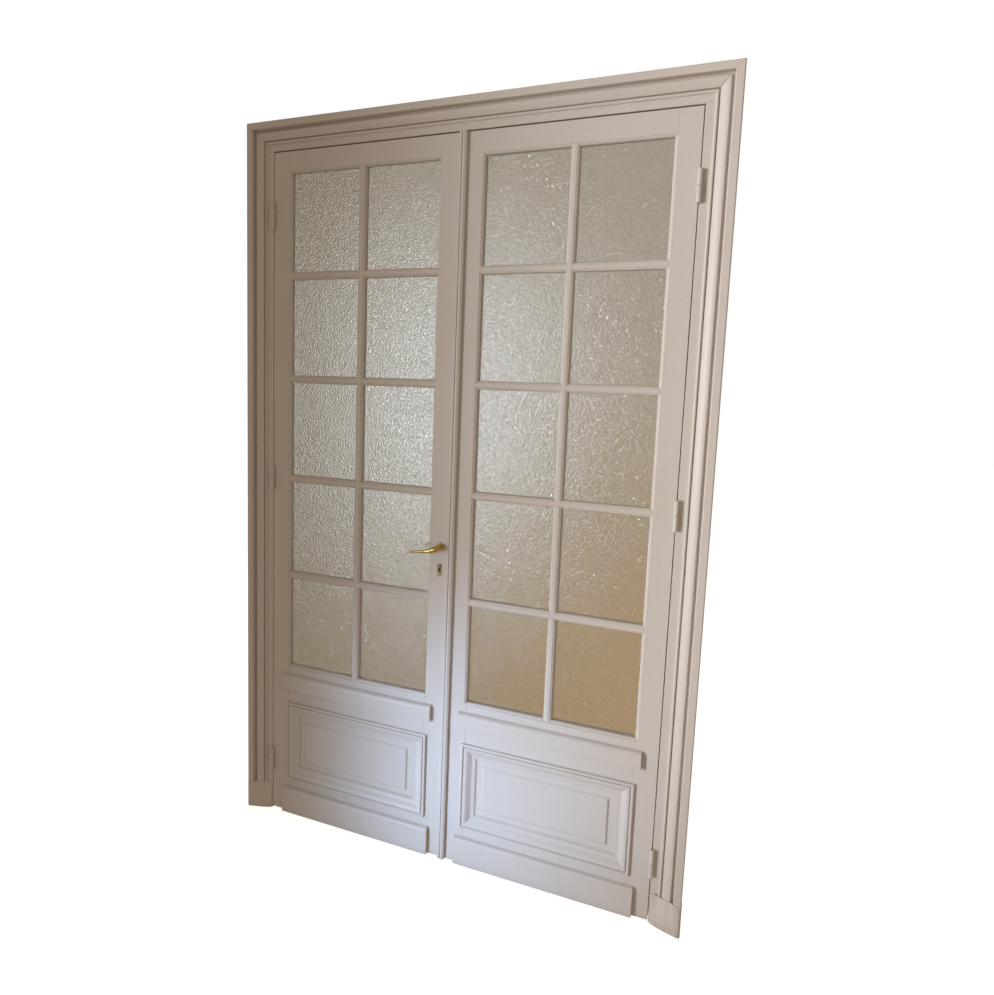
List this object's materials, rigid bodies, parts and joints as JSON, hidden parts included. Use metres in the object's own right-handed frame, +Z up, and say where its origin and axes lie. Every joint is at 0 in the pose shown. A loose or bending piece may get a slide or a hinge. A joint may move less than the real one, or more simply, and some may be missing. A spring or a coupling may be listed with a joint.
{
  "type": "french doors",
  "caption": "Pair of glazed interior doors with glazing bars and a raised lower panel, in a moulded frame with plinth blocks.",
  "frame": {"origin": "bottom centre of the whole frame, on the floor", "axes": "+X across the doorway to the right as seen from the side that the doors open to, +Y from that side through the doorway, +Z up"},
  "size_m": [1.478, 0.1499, 2.36],
  "materials": {
    "frame_paint": "old satin off-white paint on wood",
    "leaf_paint": "old satin off-white paint on wood",
    "painted_steel": "hinges painted over with the doors",
    "textured_glass": "rolled glass with a hammered grain",
    "lever_brass": "aged brass, darkened at the hub",
    "bolt_brass": "dull brass",
    "lock_steel": "plain steel"
  },
  "bodies": {
    "frame": {"jamb_left": "frame_paint", "jamb_right": "frame_paint", "head_jamb": "frame_paint", "architrave_left": "frame_paint", "architrave_right": "frame_paint", "architrave_head": "frame_paint", "plinth_block_left": "frame_paint", "plinth_block_right": "frame_paint", "hinge_frame_halves_left": "painted_steel", "hinge_frame_halves_right": "painted_steel", "head_keeper": "bolt_brass"},
    "left_leaf": {"hinge_stile_left": "leaf_paint", "lock_stile_left": "leaf_paint", "top_rail_left": "leaf_paint", "mid_rail_left": "leaf_paint", "bottom_rail_left": "leaf_paint", "upright_bars_left": "leaf_paint", "cross_bars_left": "leaf_paint", "outer_panes_left": "textured_glass", "inner_panes_left": "textured_glass", "glazing_beads_left": "leaf_paint", "lower_panel_left": "leaf_paint", "panel_moulding_left": "leaf_paint", "mid_board_left": "leaf_paint", "kick_plate_left": "leaf_paint", "hinge_leaf_halves_left": "painted_steel", "cover_moulding": "leaf_paint", "lock_case": "lock_steel", "lock_faceplate": "bolt_brass", "roses": "lever_brass", "keyhole_plates": "lever_brass"},
    "right_leaf": {"hinge_stile_right": "leaf_paint", "lock_stile_right": "leaf_paint", "top_rail_right": "leaf_paint", "mid_rail_right": "leaf_paint", "bottom_rail_right": "leaf_paint", "upright_bars_right": "leaf_paint", "cross_bars_right": "leaf_paint", "outer_panes_right": "textured_glass", "inner_panes_right": "textured_glass", "glazing_beads_right": "leaf_paint", "lower_panel_right": "leaf_paint", "panel_moulding_right": "leaf_paint", "mid_board_right": "leaf_paint", "kick_plate_right": "leaf_paint", "hinge_leaf_halves_right": "painted_steel", "strike_plate": "bolt_brass", "edge_bolt_plates": "bolt_brass"},
    "lever_set": {"lever_front": "lever_brass", "lever_back": "lever_brass", "spindle": "lock_steel", "lock_follower": "lock_steel"},
    "latch": {"latch_bolt": "bolt_brass"},
    "deadbolt": {"deadbolt": "bolt_brass"},
    "top_bolt": {"top_edge_bolt": "bolt_brass"},
    "bottom_bolt": {"bottom_edge_bolt": "bolt_brass"}
  },
  "joints": [
    {"name": "left_leaf_swing", "type": "hinge", "parent": "frame", "child": "left_leaf", "pos_m": [-0.649, -0.033, 1.2], "axis": [0, 0, -1], "range_deg": [0, 150]},
    {"name": "right_leaf_swing", "type": "hinge", "parent": "frame", "child": "right_leaf", "pos_m": [0.649, -0.033, 1.2], "axis": [0, 0, 1], "range_deg": [0, 150]},
    {"name": "lever_turn", "type": "hinge", "parent": "left_leaf", "child": "lever_set", "pos_m": [-0.033, -0.005, 1.039], "axis": [0, -1, 0], "range_deg": [0, 40], "stiffness_Nm_per_rad": 1, "springref_deg": -28.65},
    {"name": "latch_slide", "type": "slide", "parent": "left_leaf", "child": "latch", "axis": [-1, 0, 0], "range_m": [0, 0.011]},
    {"name": "deadbolt_slide", "type": "slide", "parent": "left_leaf", "child": "deadbolt", "axis": [1, 0, 0], "range_m": [0, 0.013]},
    {"name": "top_bolt_slide", "type": "slide", "parent": "right_leaf", "child": "top_bolt", "axis": [0, 0, 1], "range_m": [0, 0.012]},
    {"name": "bottom_bolt_slide", "type": "slide", "parent": "right_leaf", "child": "bottom_bolt", "axis": [0, 0, -1], "range_m": [0, 0.012]}
  ],
  "couplings": [
    {"joint": "right_leaf_swing", "follows": "left_leaf_swing", "ratio": 1},
    {"joint": "latch_slide", "follows": "lever_turn", "m_per_rad": 0.015756}
  ]
}
